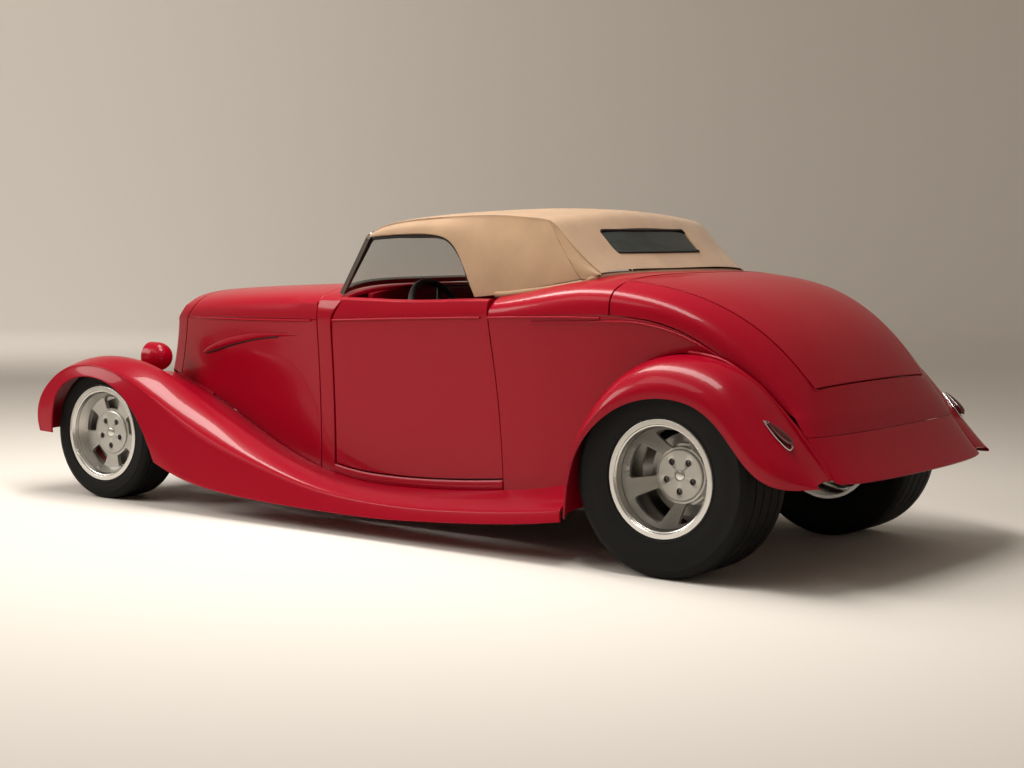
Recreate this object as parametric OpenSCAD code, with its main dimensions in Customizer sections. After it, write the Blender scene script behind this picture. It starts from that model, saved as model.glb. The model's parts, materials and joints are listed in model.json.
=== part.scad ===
// Low two-seat roadster with full fenders and a folding fabric top.
// The car stands on its four wheels; X is forward, Y is to the driver's left, Z is up.

/* [Overall] */
// Distance between the front and rear axles
wheelbase = 2845; // [2700:5:3450]
// Width of the body across the rear quarters
body_w = 1380; // [1300:10:1660]
// How far each fender stands out past the body
board_w = 112; // [100:1:150]
// Height of the belt line where the doors begin
belt_h = 826; // [800:1:860]
// Height of the fabric roof at its highest bow
roof_h = 1284; // [1250:1:1340]

/* [Wheels] */
// Outside diameter of the front tyres
front_tyre_d = 567; // [540:1:681]
// Outside diameter of the rear tyres
rear_tyre_d = 701; // [660:1:842]
// Width of the front tyres
front_tyre_w = 198; // [160:1:205]
// Width of the rear tyres
rear_tyre_w = 278; // [230:1:290]
// Outside diameter of the front rim lips
front_rim_d = 415; // [380:1:430]
// Outside diameter of the rear rim lips
rear_rim_d = 424; // [380:1:450]
// Distance from the fender's side to the face of the front rim
front_tuck = 62; // [50:1:80]
// Distance from the fender's side to the face of the rear rim
rear_tuck = 42; // [38:1:60]
// Radius of the stub shafts that carry the wheels
spindle_r = 16; // [12:0.5:20]
// Running clearance between a shaft and its bore
running_fit = 0.05; // [0.02:0.01:0.09]

/* [Panels] */
// Thickness of the doors
door_t = 60; // [45:1:75]
// Thickness of the body panels with their inner liner
panel_t = 14; // [10:1:20]
// Thickness of the fender shells
fender_t = 9; // [6:0.5:12]
// Gap at the cuts around doors, hood and lid
cut = 6; // [5:0.5:9]
// Thickness of the folding top with its lining
top_t = 14; // [8:1:20]
// Small clearance between panels that are bolted together
seat_gap = 0.3; // [0.2:0.1:1]

/* [Chassis] */
// Height of the frame rails
rail_h = 100; // [80:1:120]
// Width of the frame rails
rail_w = 50; // [40:1:60]
// Height of the underside of the frame above the ground
ride_h = 150; // [135:1:180]
// Outside diameter of the steering wheel
steer_wheel_d = 340; // [320:1:400]
// Length of the engine block
engine_l = 560; // [450:10:620]

/* [Hidden] */
$fn = 96;
half_w = body_w / 2;
outer_y = half_w + board_w;
front_x = wheelbase / 2;
rear_x = -wheelbase / 2;
front_r = front_tyre_d / 2;
rear_r = rear_tyre_d / 2;
front_face_y = outer_y - front_tuck;
rear_face_y = outer_y - rear_tuck;

// Stations of the panel cuts along the car
cowl_x = 329;
door_front_x = 242;
door_rear_x = -600;
seam_x = rear_x + 272;
top_base_x = rear_x + 422;
post_x = 200;
kingpin_y = front_face_y - 118;
fender_low = 87;

red = [0.62, 0.02, 0.08];
dark = [0.07, 0.07, 0.08];
tan = [0.72, 0.58, 0.44];
polished = [0.75, 0.75, 0.76];

// Smooth curve through keys [position, value], with the positions in rising order
function slot(keys, t, i = 0) = i >= len(keys) - 2 || t <= keys[i + 1][0] ? i : slot(keys, t, i + 1);
function rise(keys, a, b) = (keys[b][1] - keys[a][1]) / (keys[b][0] - keys[a][0]);
function slope(keys, i) = rise(keys, max(i - 1, 0), min(i + 1, len(keys) - 1));
function blend(a, b, ma, mb, h, f) = a * (1 + f * f * (2 * f - 3)) + b * f * f * (3 - 2 * f)
    + ma * h * f * (1 - f) * (1 - f) - mb * h * f * f * (1 - f);
function curve(keys, t) =
    let (i = slot(keys, t), h = keys[i + 1][0] - keys[i][0], f = (t - keys[i][0]) / h)
    f < 0 ? keys[i][1] + slope(keys, i) * f * h
    : f > 1 ? keys[i + 1][1] + slope(keys, i + 1) * (f - 1) * h
    : blend(keys[i][1], keys[i + 1][1], slope(keys, i), slope(keys, i + 1), h, f);
function mix(a, b, f) = a + (b - a) * f;
function steps(n) = [for (i = [0:n]) i / n];
function flip_y(grid) = [for (row = grid) [for (p = row) [p[0], -p[1], p[2]]]];
function reverse(list) = [for (i = [len(list) - 1:-1:0]) list[i]];

// Offset of a grid of points along its own normals, and along one fixed direction
function normal(g, u, v) =
    let (a = g[max(u - 1, 0)][v], b = g[min(u + 1, len(g) - 1)][v],
         c = g[u][max(v - 1, 0)], d = g[u][min(v + 1, len(g[0]) - 1)], n = cross(b - a, d - c))
    n / norm(n);
function inset_grid(g, t) = [for (u = [0:len(g) - 1]) [for (v = [0:len(g[0]) - 1]) g[u][v] - t * normal(g, u, v)]];
function shift_grid(g, by) = [for (row = g) [for (p = row) p + by]];

// Closed shell between two grids of points; hole = [u0, u1, v0, v1] leaves those cells open
module shell(outer, inner, hole = [0, 0, 0, 0]) {
    nu = len(outer);
    nv = len(outer[0]);
    solid_cell = function (u, v) u >= 0 && v >= 0 && u < nu - 1 && v < nv - 1
        && !(u >= hole[0] && u < hole[1] && v >= hole[2] && v < hole[3]);
    at = function (side, u, v) side * nu * nv + u * nv + v;
    cells = [for (u = [0:nu - 2]) for (v = [0:nv - 2]) if (solid_cell(u, v)) [u, v]];
    skins = [for (c = cells) for (side = [0, 1])
        let (a = at(side, c[0], c[1]), b = at(side, c[0] + 1, c[1]),
             d = at(side, c[0], c[1] + 1), e = at(side, c[0] + 1, c[1] + 1))
        each side == 0 ? [[a, e, b], [a, d, e]] : [[a, b, e], [a, e, d]]];
    rims = [for (c = cells) for (k = [[-1, 0, 0, 0, 0, 1], [1, 0, 1, 1, 1, 0], [0, -1, 1, 0, 0, 0],
        [0, 1, 0, 1, 1, 1]])
        if (!solid_cell(c[0] + k[0], c[1] + k[1]))
        let (p = at(0, c[0] + k[2], c[1] + k[3]), q = at(0, c[0] + k[4], c[1] + k[5]), m = nu * nv)
        each [[p, p + m, q + m], [p, q + m, q]]];
    polyhedron([for (g = [outer, inner]) for (row = g) each row], concat(skins, rims), convexity = 8);
}

// Both sides of the car from one left-hand shape
module pair() {
    children();
    mirror([0, 1, 0]) children();
}

// ---- Body lines ----
// Half width and height of the belt line, from the nose to the tail
belt_y_keys = [for (k = [
        [rear_x - 500, 0.78], [rear_x - 430, 0.80], [rear_x - 230, 0.884], [rear_x + 20, 0.95],
            [seam_x, 0.993],
        [rear_x + 420, 1], [rear_x + 620, 0.997], [door_rear_x, 0.975], [door_front_x, 0.861],
        [cowl_x, 0.841], [front_x - 722, 0.71], [front_x - 422, 0.598], [front_x - 222, 0.51],
        [front_x - 42, 0.42], [front_x + 80, 0.34]]) [k[0], k[1] * half_w]];
belt_z_keys = [for (k = [
        [seam_x, 79], [rear_x + 420, 73], [rear_x + 620, 62], [door_rear_x, 47], [-200, 18],
        [door_front_x, -4], [cowl_x, -7], [front_x - 722, -21], [front_x - 222, -43], [front_x + 80,
            -62]])
    [k[0], belt_h + k[1]]];
crown_keys = [for (k = [
        [seam_x, 142], [rear_x + 420, 148], [rear_x + 620, 133], [door_rear_x, 118],
        [0, 134], [cowl_x, 139], [front_x - 722, 135], [front_x - 222, 123], [front_x - 72, 114],
            [front_x + 80, 92]])
    k];
tuck_keys = [[rear_x, 62], [door_rear_x, 62], [door_front_x, 38], [front_x - 422, 24], [front_x, 20]];
sill_z_keys = [for (k = [
        [rear_x + 497, 268], [rear_x + 587, 248], [rear_x + 780, 221], [-439, 199], [-227, 184],
            [-63, 179],
        [78, 180], [193, 190], [313, 212], [453, 239], [599, 277], [front_x - 672, 327],
        [front_x - 514, 381], [front_x - 350, 429], [front_x - 166, 475], [front_x + 80, 520]])
    [k[0], k[1] - 87 + fender_low]];
round_keys = [[seam_x, 4], [rear_x + 420, 4], [door_rear_x, 2.9], [cowl_x, 4.2], [front_x - 422,
    3.4], [front_x, 2.8]];

function belt_y(x) = curve(belt_y_keys, x);
function belt_z(x) = curve(belt_z_keys, x);
function crown_z(x) = belt_z(x) + curve(crown_keys, x);
function sill_z(x) = curve(sill_z_keys, x);

// Point on the body side; u runs from 0 at the belt to 1 at the sill
function side(x, u) = [
    x,
    belt_y(x) - curve(tuck_keys, x) * u * (2 - u),
    mix(belt_z(x), sill_z(x), u)
];
function side_at(x, z) = side(x, (belt_z(x) - z) / (belt_z(x) - sill_z(x)));

// Share of width and height at angle a on a rounded-box arch, from 0 at the belt to 90 at the middle
function arch(a, n) = let (r = pow(pow(cos(a), n) + pow(sin(a), n), -1 / n)) [cos(a) * r, sin(a) * r];
function over(x, a) = let (w = arch(a, curve(round_keys, x)))
    [x, belt_y(x) * w[0], mix(belt_z(x), crown_z(x), w[1])];
// Same surface, found from the distance off the middle line
function over_z(x, y) = let (n = curve(round_keys, x), f = min(abs(y) / belt_y(x), 1))
    mix(belt_z(x), crown_z(x), pow(1 - pow(f, n), 1 / n));

// Tail: guides for the belt line and for the middle line, from the shoulder seam to the ridge over the pan
tail_belt = [for (k = [
        [0, [272, 0.993, 905]], [10, [146, 0.974, 901]], [20, [38, 0.950, 879]], [30, [-62, 0.922,
            836]],
        [40, [-158, 0.895, 775]], [50, [-248, 0.866, 704]], [60, [-332, 0.842, 642]], [68, [-392,
            0.835, 600]],
        [74, [-422, 0.838, 580]]])
    [k[0], [rear_x + k[1][0], half_w * k[1][1], k[1][2] - 826 + belt_h]]];
tail_middle = [for (k = [
        [0, [272, 1046]], [10, [137, 1033]], [20, [5, 1004]], [30, [-122, 957]], [40, [-240, 890]],
        [50, [-345, 803]], [60, [-430, 700]], [68, [-482, 614]], [74, [-502, 582]]])
    [k[0], [rear_x + k[1][0], 0, k[1][1] - 826 + belt_h]]];
tail_round = [[0, 4], [20, 3.6], [40, 3], [60, 2.8], [74, 2.5]];
function tail(s, a) = let (b = curve(tail_belt, s), c = curve(tail_middle, s), w = arch(a,
    curve(tail_round, s)))
    [mix(b[0], c[0], w[1]), b[1] * w[0], mix(b[2], c[2], w[1])];
lid_start = 0.25;
lid_end = 62;
ridge_end = 74;
lid_angle = 46;

// Groove over the rear pan and the pan's lower edge
function groove(a) = let (w = arch(a, 2.5)) [rear_x - 466 - 66 * w[1], half_w * 0.85 * w[0],
    belt_h - 307];
function pan_edge(a) = let (w = arch(a, 2.5)) [rear_x - 582 - 72 * w[1], half_w * 0.855 * w[0],
    belt_h - 449 - 8 * w[1]];

// ---- Front fender and running board: inner edge, crest, crease and lower lip ----
// Each key is [station, [x from the front axle, share of width, height]]
arch_h = 2 * front_r;
function front_keys(keys) = [for (k = keys) [k[0], [k[1][0] + front_x, k[1][1], k[1][2]
    + arch_h - 567]]];
function board_keys(keys) = [for (k = keys) [k[0], [k[1][0], k[1][1], k[1][2] + fender_low - 87]]];
front_inner = front_keys([[0, [365, 262, 270]], [1, [390, 262, 345]], [2, [362, 258, 425]], [3, [285,
    254, 480]],
    [4, [185, 250, 512]]]);
inner_x = [[5, front_x + 70], [6, front_x - 60], [7, front_x - 180], [8, front_x - 290], [9,
    front_x - 430],
    [10, 800], [11, 560], [12, 330], [13, 100], [14, -150], [15, -400], [16, -650], [17, -880], [18,
        -1008]];
front_crest = concat(
    front_keys([[0, [410, 585, 270]], [1, [432, 590, 350]], [2, [405, 590, 440]], [3, [330, 590, 524]],
        [4, [228, 592, 583]], [5, [100, 596, 614]], [6, [-30, 600, 616]], [7, [-170, 604, 596]],
        [8, [-300, 610, 545]], [9, [-450, 616, 468]]]),
    board_keys([[10, [800, 628, 392]], [11, [540, 652, 290]], [12, [300, 668, 222]], [13, [80, 682,
        184]],
        [14, [-150, 690, 172]], [15, [-400, 694, 178]], [16, [-650, 698, 192]], [17, [-880, 702, 214]],
        [18, [-1012, 705, 232]]]));
front_crease = concat(
    front_keys([[0, [360, 772, 270]], [1, [382, 772, 340]], [2, [358, 772, 428]], [3, [292, 772, 498]],
        [4, [207, 772, 555]], [5, [95, 772, 585]], [6, [-30, 772, 585]], [7, [-160, 772, 560]],
        [8, [-290, 772, 508]], [9, [-440, 772, 430]]]),
    board_keys([[10, [800, 772, 338]], [11, [520, 774, 256]], [12, [260, 776, 190]], [13, [50, 778,
        160]],
        [14, [-180, 780, 148]], [15, [-400, 780, 150]], [16, [-650, 780, 166]], [17, [-880, 780, 190]],
        [18, [-1022, 780, 210]]]));
front_lip = concat(
    front_keys([[0, [262, 794, 270]], [1, [262, 796, 330]], [2, [245, 798, 415]], [3, [205, 800, 475]],
        [4, [135, 801, 515]], [5, [55, 802, 532]], [6, [-40, 802, 528]], [7, [-130, 802, 500]],
        [8, [-235, 801, 430]], [9, [-330, 800, 300]]]),
    board_keys([[10, [990, 800, 158]], [11, [620, 801, 101]], [12, [280, 802, 89]], [13, [50, 802, 86]],
        [14, [-180, 802, 86]], [15, [-400, 802, 99]], [16, [-650, 802, 117]], [17, [-880, 802, 141]],
        [18, [-1033, 801, 165]]]));
function fender_y(y) = y * outer_y / 802;
function front_guide(keys, t) = let (p = curve(keys, t)) [p[0], fender_y(p[1]), p[2]];
// Inner edge of the front fender: free round the nose, then along the foot of the body side
function front_foot(x) = side(x, 1) + [0, 3.6, 2];
front_inner_all = concat(front_inner, [for (k = inner_x) [k[0], front_foot(k[1])]]);
function front_fender_row(t) = let (j = t < 5 ? curve(front_inner_all, t) : front_foot(curve(inner_x,
    t)), m = front_guide(front_crest, t),
        k = front_guide(front_crease, t), l = front_guide(front_lip, t),
        dip = curve([[0, 0], [2, 12], [4, 34], [6.5, 34], [9, 20], [11, 8], [18, 2]], t),
        across = [[0, j], [1.5, mix(j, m, 0.5) - [0, 0, dip]], [3, m], [5.2, k], [6, mix(k, l,
            0.22) + [0, 6, 0]], [8, l]])
    [for (v = [0, 1, 2, 3, 4, 4.7, 5.2, 5.6, 6, 7, 8]) curve(across, v)];
front_stations = [for (i = [0:26]) i * 18 / 26];

// The origin is in the middle of the car's length
nose_x = max([for (t = front_stations) for (p = front_fender_row(t)) p[0]]);
tail_x = pan_edge(90)[0];
shift_x = -(nose_x + tail_x) / 2;

// ---- Rear fender: junction with the body and lower lip ----
rear_top = 2 * rear_r - 701;
rear_inner = [for (k = [
        [0, [400, 648, 200]], [1, [392, 652, 340]], [2, [362, 655, 480]], [3, [300, 660, 600]], [4,
            [210, 662, 700]],
        [5, [100, 658, 762]], [6, [-20, 650, 782]], [7, [-130, 640, 775]], [8, [-222, 628, 745]],
        [9, [-300, 602, 692]], [10, [-370, 590, 620]], [11, [-436, 588, 545]], [12, [-492, 590, 480]],
        [13, [-578, 593, 388]]])
    [k[0], [rear_x + k[1][0], fender_y(k[1][1]), k[1][2] + rear_top]]];
rear_lip = [for (k = [
        [0, [378, 786, 172]], [1, [366, 792, 300]], [2, [335, 794, 412]], [3, [272, 795, 506]], [4,
            [180, 796, 580]],
        [5, [80, 796, 622]], [6, [-30, 796, 636]], [7, [-140, 796, 620]], [8, [-225, 795, 568]],
        [9, [-290, 793, 498]], [10, [-350, 792, 428]], [11, [-418, 786, 378]], [12, [-500, 765, 358]],
        [13, [-590, 705, 366]]])
    [k[0], [rear_x + k[1][0], fender_y(k[1][1]), k[1][2] + rear_top]]];
// Side of the body at a place behind the door, below the belt line
function body_y(x, z) = let (top = quarter_top(x), u = (top[2] - z) / (top[2] - sill_z(x)))
    top[1] - curve(tuck_keys, x) * u * (2 - u);
function rear_foot(t) = let (p = curve(rear_inner, t)) t > 8 ? p : [p[0], body_y(p[0], p[2]) + 2.2,
    p[2]];
function rear_fender_row(t) = let (j = rear_foot(t), l = curve(rear_lip, t), reach = l[1] - j[1],
        out = 8 + 1.2 * max(t - 8, 0), n = 2.1 + 0.16 * max(t - 7, 0))
    [for (a = [0, 14, 28, 40, 52, 64, 76, 90]) let (w = arch(90 - a, n))
        let (p = [mix(l[0], j[0], w[1]), j[1] + (reach + out) * w[0], mix(l[2], j[2], w[1])])
        a == 90 ? l : p];
rear_stations = [for (i = [0:22]) i * 13 / 22];

// ---- Chassis ----
rail_top = ride_h + rail_h;
horn_x = front_x + 200;
front_kick_x = front_x - 420;
function rail_y(x) = curve([[rear_x - 400, 430], [rear_x + 500, 430], [0, 420], [cowl_x, 400],
    [front_kick_x, 345]],
    min(x, front_kick_x));
tie_r = 13;
front_low = front_r - 21;
front_high = front_low + 80;
front_tie_x = horn_x - 40;

spring_top = front_r - 8;
kick_low = rear_r + 50;
kick_high = kick_low + 70;
rear_tie_x = rear_x - 430;
module chassis_frame() {
    color(dark) {
        pair() difference() {
            union() {
                side_rail();
                kick_up();
                front_kick();
            }
            for (p = [[rear_tie_x, rail_y(rear_tie_x)], [front_tie_x, rail_y(front_tie_x)]])
                translate([p[0], p[1] - rail_w / 2, ride_h]) cylinder(h = 600, r = tie_r);
        }
        // Cross members fit between the rails
        for (x = [front_kick_x - 30, 150, -550]) cross_member(x - 30, 60, ride_h + 15, rail_h - 40);
        cross_member(rear_x - 385, 45, kick_low + 10, 50);
        cross_member(front_x - 40, 80, spring_top + seat_gap, 40);
        // Cross tube and posts that carry the grille shell
        tube_z = front_high + seat_gap;
        translate([front_x + 40, -rail_y(front_x), tube_z]) cube([40, 2 * rail_y(front_x), 20]);
        post_z = tube_z + 20 + seat_gap;
        pair() translate([front_x + 45, side(front_x + 60, 1)[1] - 14, post_z])
            cube([30, 14, sill_z(front_x + 45) - post_z - seat_gap]);
    }
}

module cross_member(x, long, low, high) {
    half = min(rail_y(x), rail_y(x + long)) - rail_w - seat_gap;
    translate([x, -half, low]) cube([long, 2 * half, high]);
}

module side_rail() {
    xs = [rear_x + 440, -300, cowl_x, front_kick_x - 200, front_kick_x];
    translate([0, 0, ride_h]) linear_extrude(rail_h)
        polygon(concat([for (x = xs) [x, rail_y(x)]], [for (x = reverse(xs)) [x, rail_y(x) - rail_w]]));
}

// The rails rise over the rear axle
module kick_up() {
    x = rear_x + 440;
    points = [[0, ride_h], [0, rail_top], [-110, rail_top + 60], [-240, kick_high], [-905, kick_high],
        [-905, kick_low], [-260, kick_low], [-130, rail_top - 30]];
    translate([x, rail_y(x), 0]) rotate([90, 0, 0]) linear_extrude(rail_w) polygon(points);
}

module front_kick() {
    points = [[0, ride_h], [0, rail_top], [130, rail_top + 20], [250, front_high],
        [horn_x - front_kick_x, front_high],
        [horn_x - front_kick_x, front_low], [290, front_low], [150, ride_h + 15]];
    translate([front_kick_x, rail_y(front_kick_x), 0]) rotate([90, 0,
        0]) linear_extrude(rail_w) polygon(points);
}

floor_z = rail_top + seat_gap;
floor_t = 12;
floor_y = half_w - 210;
bulkhead_x = door_rear_x - 240;
firewall_x = cowl_x - 40;
module floor_pan() {
    color(dark) {
        translate([bulkhead_x, -floor_y, floor_z]) cube([firewall_x + floor_t - bulkhead_x,
            2 * floor_y, floor_t]);
        firewall();
        translate([bulkhead_x, -floor_y, floor_z]) cube([floor_t, 2 * floor_y, 330]);
        translate([rear_x - 440, -tub_y - 3, kick_high + seat_gap])
            cube([bulkhead_x - rear_x + 445, 2 * tub_y + 6, floor_t]);
        pair() wheel_tub();
    }
}

// Upright wall between the engine and the cabin, fitted to the inside of the cowl
module firewall() {
    x = firewall_x + floor_t;
    edge = [for (u = [0.86, 0.7, 0.5, 0.25, 0.02]) let (p = side(x, u)) [p[1] - panel_t - 3 * seat_gap, p[2]]];
    translate([x - floor_t, 0, 0]) rotate([90, 0, 90]) linear_extrude(floor_t)
        polygon(concat([[4 - floor_y, floor_z], [floor_y - 4, floor_z]], edge,
            [for (p = reverse(edge)) [-p[0], p[1]]]));
}

// Inner arch over one rear wheel
tub_y = rail_y(rear_x) + 1;
module wheel_tub() {
    span = half_w * 0.86 - tub_y;
    translate([rear_x, tub_y, rear_r]) rotate([-90, 0, 0]) difference() {
        cylinder(h = span, r = rear_r + 32);
        translate([0, 0, 8]) cylinder(h = span, r = rear_r + 25);
        translate([-600, rear_r - kick_low, -1]) cube([1200, 600, span + 2]);
    }
}

module engine_block() {
    x = cowl_x + 30;
    color("dimgray") {
        translate([x, -210, rail_top - 60]) cube([engine_l, 420, 330]);
        translate([x + 30, -270, rail_top + 269]) cube([engine_l - 60, 540, 120]);
        // Feet that reach the frame rails
        foot_y = rail_y(front_kick_x - 200) - rail_w - seat_gap;
        translate([front_kick_x - 240, -foot_y, rail_top - 50]) cube([40, 2 * foot_y, 40]);
    }
}

// ---- Nose, hood and cowl ----
// Front edge of the nose, leaning back from the bottom to the top
function nose_front(h) = front_x + curve([[-1, 120], [0, 16], [0.5, -44], [1, -68]], h);
function hood_front(h) = nose_front(h) - 96;
hood_angles = [0, 12, 26, 40, 54, 68, 80, 90];
hood_gap = 0.5;
hood_t = 8;

// Point on the side or the top of the nose, from f = 0 at the cowl cut to f = 1 at the front edge
function bonnet_side(f, u, from, to) = let (x = mix(from, to(-u), f)) side(x, u);
function bonnet_top(f, a, from, to) = let (x = mix(from, to(sin(a)), f)) over(x, a);
side_levels = [1, 0.86, 0.7, 0.52, 0.34, 0.17, 0.02];
hood_steps = [for (i = [0:9]) 1 - i / 9];
// Half of the hood's top; the two halves meet along the middle line
module hood_half() {
    grid = [for (f = hood_steps) [for (a = hood_angles)
        let (p = bonnet_top(f, a, cowl_x + cut / 2, function (h) hood_front(h) - cut / 2))
        [p[0], max(p[1], hood_gap), a == 0 ? p[2] + 1.1 : p[2]]]];
    color(red) shell(grid, inset_grid(grid, hood_t));
}
module hood_left() { hood_half(); }
module hood_right() { mirror([0, 1, 0]) hood_half(); }

// Leaf-shaped outlet pressed out of the hood side
function leaf(f, u) = let (a = (f - 0.5) / 0.38, c = (u - 0.36 - 0.12 * (f - 0.5)) / 0.17,
    d = a * a + c * c)
    d < 1 ? 16 * (1 - d) * (1 - d) : 0;
module hood_side() {
    grid = [for (f = hood_steps) [for (u = side_levels) let (v = u == 0.02 ? 0 : u)
        bonnet_side(f, v, cowl_x + cut / 2, function (h) hood_front(h) - cut / 2)
            + [0, leaf(f, u), v == 0 ? -seat_gap : 0]]];
    color(red) shell(grid, inset_grid(grid, panel_t));
}
module hood_side_left() { hood_side(); }
module hood_side_right() { mirror([0, 1, 0]) hood_side(); }

module grille_shell() {
    from = function (h) hood_front(h) + cut / 2;
    half = function (f) concat(
        [for (u = side_levels) let (v = u == 0.02 ? 0.01 : u) side(mix(from(-v), nose_front(-v), f),
            v)],
        [for (a = hood_angles) let (b = max(a, 2)) over(mix(from(sin(b)), nose_front(sin(b)), f), b)]);
    ring = function (f) let (h = half(f)) concat(h, [for (p = reverse(h)) if (p[1] > 1) [p[0], -p[1],
        p[2]]]);
    front = ring(1);
    lip = [for (p = front) [p[0] + 14, p[1] * 0.93, p[2] - 10]];
    mouth = [for (p = front) [p[0] - 4, p[1] * 0.84, p[2] - 26]];
    grid = [mouth, lip, ring(1), ring(0.66), ring(0.33), ring(0)];
    color(red) shell(grid, inset_grid(grid, panel_t * 0.7));
}

// Vee-shaped grille of upright bars, leaning back with the nose
bar_t = 5;
function mouth_y(h) = 0.84 * side(nose_front(-h), h)[1];
module grille_bars() {
    low_z = sill_z(nose_front(-1)) - 2;
    high_z = belt_z(nose_front(0));
    low_x = nose_front(-1) - 12;
    high_x = nose_front(0) - 12;
    half = mouth_y(0.2) - 2.4;
    count = 8;
    color(polished) {
        for (i = [-count:count]) {
            y = i * half / count;
            rise = 50 * sqrt(1 - y * y / (half * half * 1.1));
            back = 0.16 * abs(y);
            lean = (high_x - low_x) / (high_z - low_z);
            translate([0, y + bar_t / 2, 0]) rotate([90, 0, 0]) linear_extrude(bar_t) polygon([
                [low_x - back, low_z], [low_x - back - 22, low_z],
                [low_x - back - 22 + lean * (high_z + rise - low_z), high_z + rise],
                [low_x - back + lean * (high_z + rise - low_z), high_z + rise]]);
        }
        for (f = [0.06, 0.4, 0.8])
            translate([mix(low_x, high_x, f) - 50, -half, mix(low_z, high_z, f)]) cube([26, 2 * half,
                8]);
    }
}

// Cowl: sides, top and the ledge that carries the windshield
cowl_levels = [1, 0.8, 0.6, 0.4, 0.2, 0];
cowl_angles = [8, 18, 30, 42, 56, 72, 90];
function cowl_back(a) = curve([[0, door_front_x + cut], [8, 240], [18, 220], [24, 206], [30, 195],
    [34, 193], [42, 172],
    [52, 128], [62, 94], [90, 86]], a);
module cowl() {
    front = cowl_x - cut / 2;
    half = function (f) concat(
        [for (u = cowl_levels) side(mix(door_front_x + cut, front, f), u)],
        [for (a = cowl_angles) over(mix(cowl_back(a), front, f), a)]);
    row = function (f) let (h = half(f)) concat(h, [for (p = reverse(h)) if (p[1] > 1) [p[0], -p[1],
        p[2]]]);
    grid = [for (f = [1, 0.75, 0.5, 0.25, 0]) row(f)];
    color(red) shell(grid, inset_grid(grid, panel_t));
    dash();
}

// Dash: a flat board under the cowl, rounded to its arch
dash_low = belt_h - 20;
dash_x = 104;
function under(x, a, t) = let (p = over(x, a), d = over(x, min(a + 2, 90)) - over(x, a - 2),
    m = norm([d[1], d[2]]))
    [p[1] - t * d[2] / m, p[2] + t * d[1] / m];
module dash() {
    edge = [for (a = [46, 52, 60, 70, 82]) under(dash_x + 24, a, panel_t + 0.7)];
    color(red) translate([dash_x, 0, 0]) rotate([90, 0, 90]) linear_extrude(24) polygon(concat(
        [[-edge[0][0], dash_low], [edge[0][0], dash_low]], edge, [for (p = reverse(edge)) [-p[0],
            p[1]]]));
}

// ---- Windshield: a flat raked frame ----
rake = 21;
glass_h = 226;
frame_t = 20;
post_w = 20;
function frame_bottom(y) = (over_z(post_x - 6, y) + 4.6 - over_z(post_x, 0)) / cos(rake);
frame_low_w = belt_y(post_x) - 38;
frame_top_w = frame_low_w - 55;
function frame_outline(inset) = let (w = frame_low_w - inset, v = frame_top_w - inset,
    top = glass_h - inset)
    concat([for (f = [-1:0.0625:1]) [f * w, frame_bottom(f * w) + inset]],
        [for (a = [0:18:90]) [v - 36 + 36 * cos(a), top - 36 + 36 * sin(a)]],
        [for (a = [90:18:180]) [-v + 36 + 36 * cos(a), top - 36 + 36 * sin(a)]]);
module raked() {
    translate([post_x, 0, over_z(post_x, 0)]) rotate([0, -rake, 0]) rotate([90, 0, 90]) children();
}
module windshield_frame() {
    color([0.2, 0.16, 0.14]) raked() translate([0, 0,
        -frame_t / 2]) linear_extrude(frame_t) difference() {
        polygon(frame_outline(0));
        polygon(frame_outline(post_w));
    }
}
module windshield_glass() {
    color([0.5, 0.6, 0.58, 0.4]) raked() translate([0, 0,
        -3]) linear_extrude(6) polygon(frame_outline(post_w + seat_gap));
}

// ---- Doors ----
door_top_keys = [[door_rear_x, belt_h + 112], [-500, belt_h + 110], [-320, belt_h + 98], [-120,
    belt_h + 90], [door_front_x, belt_h + 88]];
function door_front(level) = curve([[0, door_front_x], [1, door_front_x], [1.3, 225], [1.7, 196], [2,
    178]], level);
function door_rear(level) = curve([[0, door_rear_x - 42], [0.5, door_rear_x - 24], [1, door_rear_x],
    [2, door_rear_x]], level);
function door_low(x) = sill_z(x) + 46;
// Level runs from 0 at the lower edge, through 1 at the belt, to 2 at the top edge
function door_point(f, level) = let (x = mix(door_rear(level), door_front(level) - cut, f))
    level <= 1 ? side_at(x, mix(door_low(x), belt_z(x), level))
    : [x, belt_y(x) - 5 * (level - 1) * (level - 1), mix(belt_z(x), curve(door_top_keys, x),
        level - 1)];
door_levels = [0, 0.2, 0.4, 0.6, 0.8, 1, 1.35, 1.7, 1.92];
module door() {
    grid = [for (f = [1:-1/9:-0.001]) concat([for (l = door_levels) door_point(f, l)],
        [door_point(f, 2) + [0, -14, 2], door_point(f, 2) + [0, -34, 2]])];
    last = len(door_levels);
    inner = [for (row = grid) concat(
        [for (i = [0:last - 1]) [row[i][0], row[i][1] - door_t * (i == last - 1 ? 0.92 : 1),
            row[i][2]]],
        [row[last] + [0, -30, -1], row[last + 1] + [0, -18, -1]])];
    color(red) shell(grid, inner);
}
module door_left() { door(); }
module door_right() { mirror([0, 1, 0]) door(); }

// Sills under the doors, each with its bead
module sills() {
    from = door_front_x + cut - 1.6;
    to = door_rear(0.12) - cut + 1;
    grid = [for (f = steps(9)) let (x = mix(from, to, f), low = sill_z(x) - 2,
            high = door_low(x) - cut)
        [side_at(x, low), side_at(x, mix(low, high, 0.3)) + [0, 5, 0], side_at(x, mix(low, high,
            0.65)) + [0, 5, 0],
            side_at(x, high)]];
    color(red) pair() shell(grid, shift_grid(grid, [0, -38, 0]));
}

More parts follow.
